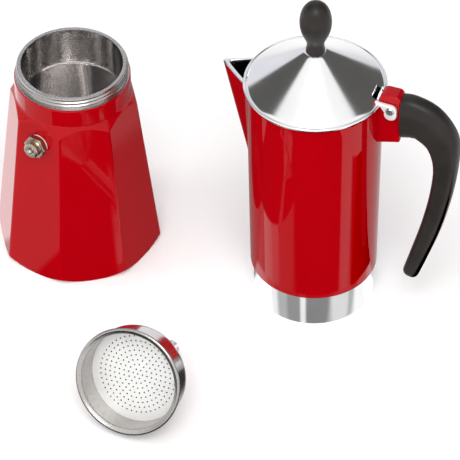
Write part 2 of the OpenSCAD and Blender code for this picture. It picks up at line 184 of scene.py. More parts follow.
def turned(name, profile, segs, centre=(0, 0, 0), loop=False):
    """Solid of revolution about Z from (r, z) points. Open profiles start and end near the axis and are
    closed there; with loop, the profile's last point joins its first."""
    prof = np.array(profile, float)
    phi = np.linspace(0, TAU, segs, endpoint=False)
    pts = np.zeros((len(prof), segs, 3))
    pts[..., 0] = prof[:, :1] * np.cos(phi)
    pts[..., 1] = prof[:, :1] * np.sin(phi)
    pts[..., 2] = prof[:, 1:2]
    pts += np.array(centre, float)
    mesh, _ = grid_mesh(name, pts, loop=loop, poles=not loop)
    outward(mesh)
    sharpen(mesh)
    return new_object(name, mesh)


def smooth_line(pts, steps):
    """Smooth curve through the points, the same rule as the part's own outlines."""
    pts = np.array(pts, float)
    out = []
    for i in range(len(pts) - 1):
        p0, p1 = pts[max(i - 1, 0)], pts[i]
        p2, p3 = pts[i + 1], pts[min(i + 2, len(pts) - 1)]
        for k in range(steps):
            t = k / steps
            out.append(0.5 * (2 * p1 + (p2 - p0) * t + (2 * p0 - 5 * p1 + 4 * p2 - p3) * t * t
                              + (3 * p1 - p0 - 3 * p2 + p3) * t ** 3))
    out.append(pts[-1])
    return np.array(out)


def soft_min(a, b, k):
    """Smaller of two values, rounded over where they differ by less than k."""
    h = np.clip(0.5 + 0.5 * (b - a) / k, 0, 1)
    return b * (1 - h) + a * h - k * h * (1 - h)


def soft_max(a, b, k):
    return -soft_min(-a, -b, k)


def prism(name, outline, half, bevel=0.0, y=0.0):
    """Plate with its outline in X and Z, which reaches half to each side of y, with rounded edges."""
    bm = bmesh.new()
    ring = [bm.verts.new((x * MM, (y - half) * MM, z * MM)) for x, z in outline]
    face = bm.faces.new(ring)
    grown = bmesh.ops.extrude_face_region(bm, geom=[face])
    moved = [v for v in grown["geom"] if isinstance(v, bmesh.types.BMVert)]
    bmesh.ops.translate(bm, verts=moved, vec=(0, 2 * half * MM, 0))
    bmesh.ops.recalc_face_normals(bm, faces=bm.faces)
    if bevel:
        sharp = [e for e in bm.edges if e.calc_face_angle(0) > math.radians(25)]
        bmesh.ops.bevel(bm, geom=sharp, offset=bevel * MM, segments=3, profile=0.5, affect="EDGES")
    for f in bm.faces:
        f.smooth = True
    mesh = bpy.data.meshes.new(name)
    bm.to_mesh(mesh)
    bm.free()
    sharpen(mesh, 40)
    return new_object(name, mesh)


def cut(obj, tool):
    """Takes the tool's shape out of obj and removes the tool."""
    mod = obj.modifiers.new("cut", "BOOLEAN")
    mod.object = tool
    mod.operation = "DIFFERENCE"
    mod.solver = "EXACT"
    depsgraph = bpy.context.evaluated_depsgraph_get()
    mesh = bpy.data.meshes.new_from_object(obj.evaluated_get(depsgraph))
    obj.modifiers.clear()
    obj.data = mesh
    bpy.data.objects.remove(tool)


# ---------------------------------------------------------------- material helpers

class Tree:
    """Helper for building a node tree. A value may be a number, a tuple or the output of a node."""

    def __init__(self, node_tree):
        self.tree = node_tree

    def add(self, kind, **values):
        """New node; a value named in_X_Y sets its input X Y, and any other value sets a property."""
        node = self.tree.nodes.new(kind)
        for key, value in values.items():
            if key.startswith("in_"):
                node.inputs[key[3:].replace("_", " ")].default_value = value
            else:
                setattr(node, key, value)
        return node

    def link(self, output, socket):
        self.tree.links.new(output, socket)

    def feed(self, value, socket):
        if isinstance(value, (tuple, float, int)):
            socket.default_value = value
        else:
            self.link(value, socket)

    def calc(self, operation, a, b):
        node = self.add("ShaderNodeMath", operation=operation)
        self.feed(a, node.inputs[0])
        self.feed(b, node.inputs[1])
        return node.outputs[0]

    def step(self, value, low, high):
        """Smooth step from 0 at low to 1 at high."""
        node = self.add("ShaderNodeMapRange", in_From_Min=low, in_From_Max=high)
        node.interpolation_type = "SMOOTHSTEP"
        self.link(value, node.inputs["Value"])
        return node.outputs["Result"]

    def mix(self, share, colour_a, colour_b):
        node = self.add("ShaderNodeMix", data_type="RGBA")
        for socket, value in (("Factor_Float", share), ("A_Color", colour_a), ("B_Color", colour_b)):
            self.feed(value, next(i for i in node.inputs if i.identifier == socket))
        return next(o for o in node.outputs if o.identifier == "Result_Color")


class Surface(Tree):
    """Material with a Principled shader, textured in the object's own coordinates."""

    def __init__(self, name):
        self.material = bpy.data.materials.new(name)
        self.material.use_nodes = True
        super().__init__(self.material.node_tree)
        self.shader = self.tree.nodes["Principled BSDF"]
        self.place = self.add("ShaderNodeTexCoord").outputs["Object"]

    def set(self, **values):
        for key, value in values.items():
            self.shader.inputs[key.replace("_", " ")].default_value = value

    def to(self, output, socket):
        self.link(output, self.shader.inputs[socket])

    def noise(self, scale, detail, stretch=(1, 1, 1)):
        place = self.add("ShaderNodeMapping", in_Scale=stretch)
        self.link(self.place, place.inputs["Vector"])
        node = self.add("ShaderNodeTexNoise", in_Scale=scale, in_Detail=detail)
        self.link(place.outputs["Vector"], node.inputs["Vector"])
        return node.outputs["Fac"]

    def spread(self, value, low, high):
        """Spreads the middle of a noise over the range from low to high."""
        node = self.add("ShaderNodeMapRange", in_From_Min=0.3, in_From_Max=0.7, in_To_Min=low, in_To_Max=high)
        self.link(value, node.inputs["Value"])
        return node.outputs["Result"]

    def tone(self, noise, colour_a, colour_b):
        """Base colour that wanders between two colours."""
        self.to(self.mix(self.spread(noise, 0, 1), (*colour_a, 1), (*colour_b, 1)), "Base Color")

    def bump(self, height, strength, distance=0.0001):
        node = self.add("ShaderNodeBump", in_Strength=strength, in_Distance=distance)
        self.link(height, node.inputs["Height"])
        self.to(node.outputs["Normal"], "Normal")


def red_enamel():
    """Glossy baked enamel: deep red, a faint orange peel, and a slightly uneven depth of colour."""
    m = Surface("red_enamel")
    m.set(Roughness=0.35, Specular_IOR_Level=0.0, Coat_Weight=1.0, Coat_IOR=1.3)
    m.tone(m.noise(28, 2, (1, 1, 0.35)), (0.345, 0.0, 0.003), (0.375, 0.0, 0.004))
    m.to(m.spread(m.noise(140, 2), 0.02, 0.05), "Coat Roughness")
    m.bump(m.noise(500, 2), 0.03, 0.0002)
    return m.material


def metal(name, colour, dark, roughness, bump):
    """Metal with fine tool lines round Z, soft blotches of tone and uneven gloss."""
    m = Surface(name)
    m.set(Metallic=1.0)
    lines = m.noise(900, 2, (1, 1, 14))
    m.tone(m.noise(45, 3), dark, colour)
    m.to(m.spread(lines, roughness * 0.8, roughness * 1.3), "Roughness")
    m.bump(lines, bump)
    return m.material


def satin_plate():
    """Drilled sheet with a fine matte, almost white finish."""
    m = Surface("satin_plate")
    m.set(Metallic=0.35)
    fine = m.noise(2600, 2)
    m.tone(m.noise(70, 3), (0.76, 0.76, 0.75), (0.84, 0.84, 0.83))
    m.to(m.spread(fine, 0.36, 0.52), "Roughness")
    m.bump(fine, 0.12)
    return m.material


def black_nylon():
    """Moulded black plastic: satin, with a fine spark-eroded grain."""
    m = Surface("black_nylon")
    m.set(IOR=1.5, Specular_IOR_Level=0.2)
    m.tone(m.noise(60, 3), (0.017, 0.015, 0.014), (0.026, 0.022, 0.020))
    m.to(m.spread(m.noise(400, 3), 0.30, 0.42), "Roughness")
    m.bump(m.noise(2600, 3), 0.10)
    return m.material


def white_rubber():
    """Matte food-grade rubber."""
    m = Surface("white_rubber")
    m.tone(m.noise(90, 3), (0.66, 0.64, 0.58), (0.76, 0.74, 0.69))
    m.to(m.spread(m.noise(600, 3), 0.55, 0.7), "Roughness")
    m.bump(m.noise(1500, 3), 0.2)
    return m.material


MATERIALS = {
    "red_enamel": red_enamel(),
    "cast_aluminium": metal("cast_aluminium", (0.50, 0.48, 0.47), (0.38, 0.365, 0.355), 0.24, 0.15),
    "polished_aluminium": metal("polished_aluminium", (0.90, 0.90, 0.91), (0.82, 0.82, 0.84), 0.13, 0.04),
    "spun_aluminium": metal("spun_aluminium", (0.84, 0.82, 0.81), (0.74, 0.72, 0.71), 0.17, 0.08),
    "satin_plate": satin_plate(),
    "valve_brass": metal("valve_brass", (0.50, 0.46, 0.38), (0.36, 0.32, 0.25), 0.25, 0.1),
    "bright_steel": metal("bright_steel", (0.66, 0.66, 0.66), (0.55, 0.55, 0.55), 0.25, 0.1),
    "white_rubber": white_rubber(),
    "black_nylon": black_nylon(),
}


def dress(obj, *slots, index=None):
    """Gives obj the named materials; index says which one each face takes."""
    obj.data.materials.clear()
    for slot in slots:
        obj.data.materials.append(MATERIALS[slot])
    obj.data.polygons.foreach_set("material_index", index or [0] * len(obj.data.polygons))


def finish_piece(obj, body, slot, *nodes):
    """Fixes obj to its body; the named CAD nodes are hidden, because obj takes their place."""
    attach(obj, body)
    if nodes:
        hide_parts(*nodes)


# ---------------------------------------------------------------- boiler

FACET_COS = math.cos(math.pi / 8)
FACET_SLOPE = (FOOT_R - SHOULDER_R) * FACET_COS / (SHOULDER_Z - FOOT_CHAMFER)
RED, BARE, INSIDE = 0, 1, 2


def octagon(z, phi, inset, k):
    """Distance from the axis to the eight tilted facets, with softened corners."""
    apothem = FOOT_R * FACET_COS - FACET_SLOPE * (z - FOOT_CHAMFER) - inset
    step = TAU / 8
    turn = (phi - BOILER_TURN) % step - step / 2
    near = apothem / np.cos(turn)
    other = apothem / np.cos(np.abs(turn) - step)
    return soft_min(near, other, k)


def corner_r(z):
    """Radius of the tapering body over its corners."""
    return FOOT_R - (z - FOOT_CHAMFER) * (FOOT_R - SHOULDER_R) / (SHOULDER_Z - FOOT_CHAMFER)


def boiler_casting():
    """Eight-sided casting from the middle of its base, up the outside and down the inside."""
    phi = np.linspace(0, TAU, 320, endpoint=False)
    rings, finishes = [], []

    def ring(z, rev, inset=None, k=1.0, finish=INSIDE):
        """Round ring of radius rev, cut by the octagon where an inset is given."""
        r = np.full_like(phi, float(rev))
        if inset is not None:
            r = soft_min(r, octagon(z, phi, inset, k), k)
        rings.append((r, np.full_like(phi, float(z))))
        finishes.append(finish)

    ring(0.6, 6)
    ring(0.5, 30)
    ring(0, 33, 0)
    ring(0, 39.4, 0)
    foot = [(0, 40.3), (0.5, 40.9), (1.2, 41.6), (2, 42.4), (2.8, 43.1), (3.4, 43.5), (4.4, 43.5)]
    for z, r in foot:
        ring(z, r, 0, 0.25, RED)
    for z in np.linspace(6, SHOULDER_Z - 4, 26):
        ring(z, corner_r(z), 0, 0.25, RED)
    neck_foot = SHOULDER_Z + (SHOULDER_R - NECK_R) * SHOULDER_FALL
    for z in np.linspace(SHOULDER_Z - 3, neck_foot + 2.0, 24):
        cone = SHOULDER_R - (z - SHOULDER_Z) / SHOULDER_FALL
        rev = soft_max(soft_min(cone, corner_r(z), 0.5), NECK_R, 0.9)
        inset = 0 if z < neck_foot + 0.6 else None
        ring(z, rev, inset, 0.2, RED)
    for z in np.linspace(neck_foot + 3, NECK_BARE - 0.5, 8):
        ring(z, NECK_R, finish=RED)
    ring(NECK_BARE - 0.15, NECK_R - 0.12, finish=RED)
    ring(NECK_BARE, NECK_R - 0.45, finish=BARE)
    ring(NECK_BARE + 0.05, THREAD_ROOT + 0.1, finish=BARE)
    for z in np.linspace(NECK_BARE + 0.3, NECK_TOP - 0.5, 40):
        wave = 0.5 + 0.5 * np.cos(TAU * (z / THREAD_PITCH - phi / TAU))
        fade = np.clip(min(z - NECK_BARE - 0.3, NECK_TOP - 0.6 - z) / 0.8, 0, 1)
        r = THREAD_ROOT + (THREAD_CREST - THREAD_ROOT) * wave ** 1.5 * fade
        rings.append((r, np.full_like(phi, z)))
        finishes.append(BARE)
    ring(NECK_TOP - 0.15, THREAD_ROOT - 0.1, finish=BARE)
    ring(NECK_TOP, THREAD_ROOT - 0.35, finish=BARE)
    ring(NECK_TOP, NECK_BORE + 0.4, finish=BARE)
    ring(NECK_TOP - 0.15, NECK_BORE + 0.1)
    for z in np.linspace(NECK_TOP - 0.5, SHOULDER_Z + 1.2, 14):
        ring(z, NECK_BORE)
    ring(SHOULDER_Z + 0.6, NECK_BORE + 0.2)
    inner_top = SHOULDER_R - BOILER_WALL - 0.4
    for t in np.linspace(0.12, 1, 7):
        z = SHOULDER_Z + 0.6 - 4.6 * t
        ring(z, NECK_BORE + (inner_top - NECK_BORE) * t, BOILER_WALL, 0.9)
    inner_foot = FOOT_R - 3.4
    round_z = 6.2
    for z in np.linspace(SHOULDER_Z - 7, 8, 20):
        t = (z - round_z) / (SHOULDER_Z - 4 - round_z)
        ring(z, inner_foot + (inner_top - inner_foot) * t, BOILER_WALL, 1.2)
    inner_round = [(round_z, 40.1), (5, 39.4), (4, 38.4), (3.3, 37)]
    for z, r in inner_round + [(BOILER_FLOOR, r) for r in (35, 18, 5)]:
        ring(z, r, BOILER_WALL, 1.2)

    pts = np.array([np.stack([r * np.cos(phi), r * np.sin(phi), z], -1) for r, z in rings])
    mesh, ring_of = grid_mesh("boiler_casting", pts, poles=True)
    outward(mesh)
    sharpen(mesh, 40)
    obj = new_object("boiler_casting", mesh)
    dress(obj, "red_enamel", "cast_aluminium", "spun_aluminium", index=[finishes[i] for i in ring_of])
    finish_piece(obj, "boiler", "red_enamel", "boiler")


# ---------------------------------------------------------------- safety valve

def valve_seat():
    """Origin of the valve's axis on the facet, and a matrix that takes +Z to the outward direction."""
    turn = VALVE_OUT.to_track_quat("Z", "Y").to_matrix().to_4x4()
    return Matrix.Translation(box_centre("valve_washer") - VALVE_OUT * WASHER_HALF * MM) @ turn


def valve_fitting():
    """Hexagon, collar and nose of the valve, from its shank in the wall outwards."""
    phi = np.linspace(0, TAU, 144, endpoint=False)
    turn = phi % (TAU / 6) - TAU / 12
    hexagon = VALVE_HEX_R * math.cos(math.pi / 6) / np.cos(turn)
    shank = [(-5.9, VALVE_SHANK_R), (0.8, VALVE_SHANK_R)]
    hex_caps = [(1.0, 5.9), (1.3, 6.35), (1.6, 6.5), (3.2, 6.5), (3.5, 6.2), (3.8, 5.75), (4.0, 5.4)]
    nose = [(4.0, 4.6), (4.0, 4.3), (4.2, 4.15), (5.0, 4.12), (5.1, 3.9), (5.5, 3.9), (5.6, 4.15),
            (6.4, 4.2), (6.9, 4.05), (7.25, 3.6), (7.38, 3.1), (7.38, 1.9), (7.2, 1.5), (5.6, 1.5)]
    rings = [(z, np.full_like(phi, r)) for z, r in shank]
    rings.append((0.82, soft_min(hexagon, 5.6, 0.1)))
    rings += [(z, soft_min(hexagon, cap, 0.15)) for z, cap in hex_caps]
    rings += [(z, np.full_like(phi, r)) for z, r in nose]
    pts = np.array([np.stack([r * np.cos(phi), r * np.sin(phi), np.full_like(phi, z)], -1) for z, r in rings])
    mesh, _ = grid_mesh("valve_fitting", pts, poles=True)
    outward(mesh)
    sharpen(mesh, 28)
    mesh.transform(valve_seat())
    obj = new_object("valve_fitting", mesh)
    dress(obj, "valve_brass")
    finish_piece(obj, "boiler", "valve_brass", "valve_body")


# ---------------------------------------------------------------- jug

def spout_reach(z, phi, inset):
    """Distance from the jug's axis to the spout's two sides; phi is counted from the spout."""
    ridge = SPOUT_TIP - inset / math.sin(SPOUT_HALF_ANGLE) - (RIM_Z + SPOUT_RISE - z) * SPOUT_SLOPE
    side = np.sqrt(np.sin(phi) ** 2 + 0.0004)
    below = np.cos(phi) + side / math.tan(SPOUT_HALF_ANGLE)
    reach = (ridge + 0.35) / np.maximum(below, 0.2)
    return np.where(np.cos(phi) > 0.3, reach, 0.0)


def spout_share(reach):
    """0 on the round rim and 1 at the spout's tip."""
    return np.clip((reach - SPOUT_START) / (SPOUT_TIP - SPOUT_START), 0, 1)


def outer_r(z):
    return WALL_FOOT_R + WALL_FLARE * (z - BAND_H) / (RIM_Z - BAND_H)


def inner_r(z):
    return outer_r(z) - WALL_T


def jug_casting():
    """Jug from its foot up the outside, over the rim, down the inside and round the skirt's socket."""
    phi = np.linspace(0, TAU, 384, endpoint=False)
    off = np.abs(phi - math.pi)
    rings, painted = [], []

    def plain(r, z, paint=False):
        rings.append((np.full_like(phi, float(r)), np.full_like(phi, float(z))))
        painted.append(paint)

    def wall(t, radius, inset, grow=0.0, paint=False, shift=0.0, foot=21.0):
        """One ring of the wall at share t of the height between the foot and the rim."""
        z = foot + t * (rim + shift - foot)
        rings.append((soft_max(radius(z) + grow, spout_reach(z, off, inset), 1.6), z))
        painted.append(paint)

    reach = np.full_like(phi, 34.0)
    for _ in range(3):
        lift = SPOUT_RISE * spout_share(reach)
        reach = soft_max(outer_r(RIM_Z), spout_reach(RIM_Z + lift, off, 0), 1.2)
    rim = RIM_Z + SPOUT_RISE * spout_share(reach)

    plain(29.3, 0.0)
    plain(30.2, 0.0)
    plain(30.5, 0.15)
    plain(30.62, 0.5)
    for z in np.linspace(2, BAND_H - 0.2, 10):
        plain(BAND_R + 0.5 * z / BAND_H, z)
    plain(31.1, BAND_H - 0.05)
    plain(31.3, BAND_H, True)
    plain(32.1, BAND_H, True)
    plain(WALL_FOOT_R - 0.12, BAND_H + 0.12, True)
    plain(WALL_FOOT_R, BAND_H + 0.5, True)
    lip = -1.4 - 1.4 * spout_share(reach)
    for t in np.linspace(0, 1, 46):
        wall(t, outer_r, 0, paint=True, shift=lip)
    wall(1, outer_r, 0, shift=lip + 0.05)
    wall(1, outer_r, 0, shift=-0.45)
    wall(1, outer_r, 0.12, grow=-0.12, shift=-0.12)
    wall(1, outer_r, 0.4, grow=-0.4)
    wall(1, inner_r, 1.65, grow=0.35)
    wall(1, inner_r, 1.92, grow=0.08, shift=-0.12)
    for t in np.linspace(1, 0.02, 24):
        wall(t, inner_r, 2.0, shift=-0.45, foot=24)
    inner_floor = [(30.0, 22.5), (28.6, 20), (28.5, 17.6), (27.6, 15.8), (25.5, 14.9), (18, 18), (8, 21.5),
                   (COLUMN_HOLE_R, 22.0)]
    under_floor = [(COLUMN_HOLE_R, 17), (19.6, 9.9), (28.0, 9.8), (28.3, 9.7), (28.3, 7.2)]
    for r, z in inner_floor + under_floor:
        plain(r, z)
    thread_top, thread_end = 6.4, 0.9
    for z in np.linspace(thread_top, thread_end, 30):
        wave = 0.5 + 0.5 * np.cos(TAU * ((z + SEAT_LIFT) / THREAD_PITCH - phi / TAU))
        fade = np.clip(min(z - thread_end, thread_top - z) / 0.8, 0, 1)
        groove = SKIRT_THREAD_DEPTH * (1 - fade * (1 - wave))
        rings.append((SKIRT_THREAD_R + groove, np.full_like(phi, z)))
        painted.append(False)
    plain(29.0, 0.6)

    pts = np.array([np.stack([JUG_X + r * np.cos(phi), r * np.sin(phi), z], -1) for r, z in rings])
    mesh, ring_of = grid_mesh("jug_casting", pts, loop=True)
    outward(mesh)
    sharpen(mesh, 40)
    obj = new_object("jug_casting", mesh)
    dress(obj, "red_enamel", "polished_aluminium", index=[RED if painted[i] else BARE for i in ring_of])
    finish_piece(obj, "jug", "red_enamel", "jug")


def hinge_bracket():
    """Cast arm between the jug's wall and the handle's upper end."""
    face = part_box("handle")[0].x / MM + 0.02 - JUG_X
    side = [(31.8, 110.6), (38, 112.3), (face - 0.4, 114), (face, 115), (face, 141.6), (face - 1.6, 143.2),
            (37, 143.4), (35, 142.4), (34, 140), (33.6, RIM_Z), (31.8, RIM_Z - 1)]
    obj = prism("hinge_bracket", [(JUG_X + x, z) for x, z in side], BRACKET_HALF, bevel=0.7)
    dress(obj, "red_enamel")
    finish_piece(obj, "jug", "red_enamel")


# ---------------------------------------------------------------- lid

def lid_cone(r):
    """Height of the lid's outside at a distance from its axis."""
    foot = LID_EDGE + 0.5
    return foot + (LID_CONE_R - r) * (LID_TOP - foot) / (LID_CONE_R - LID_TOP_R)


def lid_shell():
    """Conical sheet with a rolled edge and a plug that sits in the jug's mouth."""
    profile = [(0.4, LID_TOP), (3.5, LID_TOP), (4.8, LID_TOP - 0.03), (5.4, LID_TOP - 0.2)]
    profile += [(r, lid_cone(r)) for r in np.linspace(6, 34.0, 30)]
    profile += [(34.35, LID_EDGE + 0.3), (34.5, LID_EDGE + 0.02), (34.62, LID_EDGE), (34.72, LID_EDGE + 0.1),
                (34.9, LID_EDGE + 0.3), (35.2, LID_EDGE + 0.36), (35.5, LID_EDGE + 0.26), (35.72, LID_EDGE),
                (LID_R, LID_EDGE - 0.3), (LID_R, RIM_Z + 0.7), (LID_R - 0.1, RIM_Z + 0.38),
                (LID_R - 0.4, RIM_Z + 0.22), (LID_PLUG_R, RIM_Z + 0.2), (LID_PLUG_R, RIM_Z - 1.3),
                (LID_PLUG_R - 0.2, RIM_Z - 1.4), (LID_PLUG_R - 0.75, RIM_Z - 1.4),
                (LID_PLUG_R - 0.9, RIM_Z - 1.2)]
    profile += [(r, lid_cone(r) - LID_SHEET) for r in (LID_PLUG_R - 0.9, 24, 16, 8)]
    profile += [(5, LID_TOP - 1.3), (0.4, LID_TOP - 1.3)]
    obj = turned("lid_shell", profile, segs=288, centre=(JUG_X, 0, 0))
    near, far, low, high = JUG_X + 30.4, JUG_X + 60, 120, 160
    notch = prism("notch", [(near, low), (far, low), (far, high), (near, high)], LUG_INNER)
    cut(obj, notch)
    sharpen(obj.data, 35)
    dress(obj, "polished_aluminium")
    finish_piece(obj, "lid", "polished_aluminium", "lid")


def hinge_lug(name, side):
    """One of the lid's two ears, which take the hinge pin on each side of the bracket."""
    def arc(below_pin, start, end, count):
        angles = np.radians(np.linspace(start, end, count))
        return [(PIN.x + LUG_R * math.cos(a), PIN.z - below_pin + LUG_R * math.sin(a)) for a in angles]

    outline = [(JUG_X + 32.6, RIM_Z + 0.5), (JUG_X + 35.6, RIM_Z + 0.2), (PIN.x - 3.15, PIN.z - 1.6)]
    outline += arc(2.8, 188, 352, 12) + arc(0, 8, 95, 8)
    outline += [(JUG_X + 34.2, LID_EDGE + 1.1), (JUG_X + 32.6, LID_EDGE + 1.5)]
    obj = prism(name, outline, LUG_T / 2, bevel=0.45, y=side * (LUG_INNER + LUG_T / 2))
    dress(obj, "satin_plate")
    finish_piece(obj, "lid", "satin_plate")


def knob():
    """Egg-shaped knob with a narrow neck."""
    outline = [(0.4, 0), (4.4, 0), (4.8, 0.5), (4.5, 2.6), (4.35, 5), (4.9, 7.4), (6.4, 11), (7.5, 14.6),
               (7.97, 18.6), (7.75, 22.6), (6.8, 26.4), (5, 29.4), (2.6, 31.2), (0.4, 31.75)]
    profile = smooth_line(outline, 5) * (1, 0.96)
    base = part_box("lid_knob")[0].z / MM
    obj = turned("knob_egg", profile, segs=96, centre=(JUG_X, 0, base))
    dress(obj, "black_nylon")
    finish_piece(obj, "lid", "black_nylon", "lid_knob")


# ---------------------------------------------------------------- handle

# Centre line of the handle seen from the side: distance from the jug's axis, height, half its width
HANDLE_LINE = [
    (45.2, 129, 12.4), (50.5, 129.8, 12.2), (58.6, 127, 11), (66.2, 117.6, 8.8), (68.4, 102.5, 6.3),
    (66.6, 82.6, 5.6), (62.2, 60.2, 5.2), (56.2, 38.2, 4.6), (52.6, 26, 4.2),
]
STEPS = 10


def handle_grip():
    """Rounded grip swept along the handle's centre line, with a faint moulding line round its middle."""
    line = smooth_line(HANDLE_LINE, STEPS)
    headings = np.gradient(line[:, :2], axis=0)
    headings /= np.linalg.norm(headings, axis=1)[:, None]
    # The grip's end stands upright against the bracket
    headings[:STEPS, 1] *= np.linspace(0, 1, STEPS, endpoint=False)
    headings /= np.linalg.norm(headings, axis=1)[:, None]
    theta = np.linspace(0, TAU, 72, endpoint=False)
    power = 2 / 2.7
    u = np.sign(np.cos(theta)) * np.abs(np.cos(theta)) ** power
    v = np.sign(np.sin(theta)) * np.abs(np.sin(theta)) ** power
    seam = 0.05 * np.exp(-(np.sin(theta) / 0.05) ** 2)
    rings = []

    def ring(x, z, head, half, thick, slide=0.0):
        """Section across the centre line, moved along it by slide."""
        across = half * (u + seam * np.sign(u) / max(half, 1))
        px = x + head[0] * slide - head[1] * across
        pz = z + head[1] * slide + head[0] * across
        rings.append(np.stack([JUG_X + px, thick * v, pz], -1))

    def thickness(z):
        """Half the grip's size along Y."""
        return 4.4 + 2.0 * np.clip((z - 20) / 90, 0, 1)

    x, z, half = line[0]
    ring(x, z, headings[0], half - 0.7, thickness(z) - 0.7)
    ring(x, z, headings[0], half - 0.2, thickness(z) - 0.2, 0.2)
    for (x, z, half), head in zip(line[1:], headings[1:]):
        ring(x, z, head, half, thickness(z))
    for t in np.linspace(8, 84, 9):
        c, s = math.cos(math.radians(t)), math.sin(math.radians(t))
        ring(x, z, head, half * c, thickness(z) * c, half * s)
    mesh, _ = grid_mesh("handle_grip", np.array(rings), poles=True)
    outward(mesh)
    sharpen(mesh, 50)
    obj = new_object("handle_grip", mesh)
    dress(obj, "black_nylon")
    finish_piece(obj, "jug", "black_nylon", "handle")


# ---------------------------------------------------------------- funnel

def funnel_place():
    """Takes the upright funnel, with its rim at the origin, to where it lies on the table."""
    tilt = math.atan((BASKET_R - STEM_R) / (FUNNEL_L - BASKET_EDGE))
    turn = Matrix.Rotation(FUNNEL_TURN, 4, "Z") @ Matrix.Rotation(math.pi / 2 - tilt, 4, "X")
    out = turn @ Vector((0, 0, 1))
    centre = box_centre("funnel_plate") + out * (BASKET_DEPTH - PLATE_FRONT) * MM
    return Matrix.Translation(centre) @ turn


def funnel_shell():
    """Basket with a rolled rim, cone and stem; the outline runs up the inside and down the outside."""
    bowl = -BASKET_DEPTH
    cone_end = bowl - 10.6
    bore = STEM_R - FUNNEL_SHEET
    inside = BASKET_R - FUNNEL_SHEET
    ledge = inside - 1.2
    inner = [(bore, -FUNNEL_L), (bore, cone_end), (bore + 0.6, cone_end + 0.9), (ledge - 0.8, bowl - 1.6),
             (ledge, bowl - 1.2), (ledge, bowl), (inside, bowl)]
    inner += [(inside, z) for z in np.linspace(bowl + 0.5, -1.2, 12)]
    inner += [(inside + 0.1, -0.5), (inside + 0.4, 0.15), (inside + 1.0, 0.4)]
    angles = np.radians(150 - 360 / 21 * np.arange(1, 17))
    bead = [(BEAD_RING + BEAD_R * math.cos(a), BEAD_R * math.sin(a)) for a in angles]
    outer = [(BASKET_R + 0.3, -0.5), (BASKET_R + 0.05, -0.9), (BASKET_R, -1.6)]
    outer += [(BASKET_R, z) for z in np.linspace(-3, bowl + 0.6, 8)]
    outer += [(BASKET_R - 0.1, bowl - 0.4), (BASKET_R - 0.5, bowl - 1.1), (BASKET_R - 1.1, bowl - 1.6),
              (STEM_R + 0.4, cone_end - 0.3), (STEM_R, cone_end - 0.9), (STEM_R, -FUNNEL_L)]
    profile = inner + bead + outer
    # The inside of the basket and the rolled rim take the darker cast aluminium as painted shade; the outside
    # keeps the spun aluminium.
    painted_shade_rings = len(inner) + len(bead) - 1
    segs = 240
    obj = turned("funnel_shell", profile, segs=segs, loop=True)
    obj.data.transform(funnel_place())
    dress(obj, "spun_aluminium", "cast_aluminium",
          index=[1 if face // segs < painted_shade_rings else 0 for face in range(len(obj.data.polygons))])
    finish_piece(obj, "funnel", "spun_aluminium", "funnel")


# ---------------------------------------------------------------- build the pieces

boiler_casting()
valve_fitting()
jug_casting()
hinge_bracket()
lid_shell()
hinge_lug("hinge_lug_front", -1)
hinge_lug("hinge_lug_back", 1)
knob()
handle_grip()
funnel_shell()

SLOT_OF = {s["node"]: s["material_slot"] for s in frame["record"]["subparts"]}
for node_name, node_object in frame["nodes"].items():
    dress(node_object, SLOT_OF[node_name])
# The drilled plates are flat, so their faces aren't smoothed across the holes
for flat in ("funnel_plate", "filter_plate"):
    frame["nodes"][flat].data.shade_flat()


# ---------------------------------------------------------------- stage, camera and light

CAMERA_AT = Vector((575.7, -1406.3, 1448.2))
CAMERA_AIM = Vector((98.0, -40.8, 64.9))
JUG_TO_CAMERA = math.radians(-72.4)
BOILER_TO_CAMERA = math.radians(-67.7)
# The studio's dark walls and its brighter front, in degrees from the camera's direction; the walls
# also have the elevation of their foot and of their top
RIGHT_WALL = (82, 152, 2, 68)
LEFT_WALL = (-134, -86, 14, 68)
FRONT = (-84, 81)
WALL_SOFT = 0.03
# The reflecting card: its height, its darkest level, and how far the bare band sees
CARD_LIFT = 0.0003
DARK_CARD = 0.02
BAND_VIEW_R = 53.0


def level_square(name, half):
    corners = [(-half, -half, 0), (half, -half, 0), (half, half, 0), (-half, half, 0)]
    mesh = bpy.data.meshes.new(name)
    mesh.from_pydata(corners, [], [(0, 1, 2, 3)])
    return new_object(name, mesh)


def stage():
    """Plain pale floor."""
    floor = level_square("floor", 3.0)
    m = Surface("floor_paper")
    m.set(Roughness=0.9, Specular_IOR_Level=0.1, Emission_Color=(1, 1, 1, 1), Emission_Strength=0.12)
    m.tone(m.noise(3, 2), (0.88, 0.88, 0.88), (0.90, 0.90, 0.90))
    floor.data.materials.append(m.material)


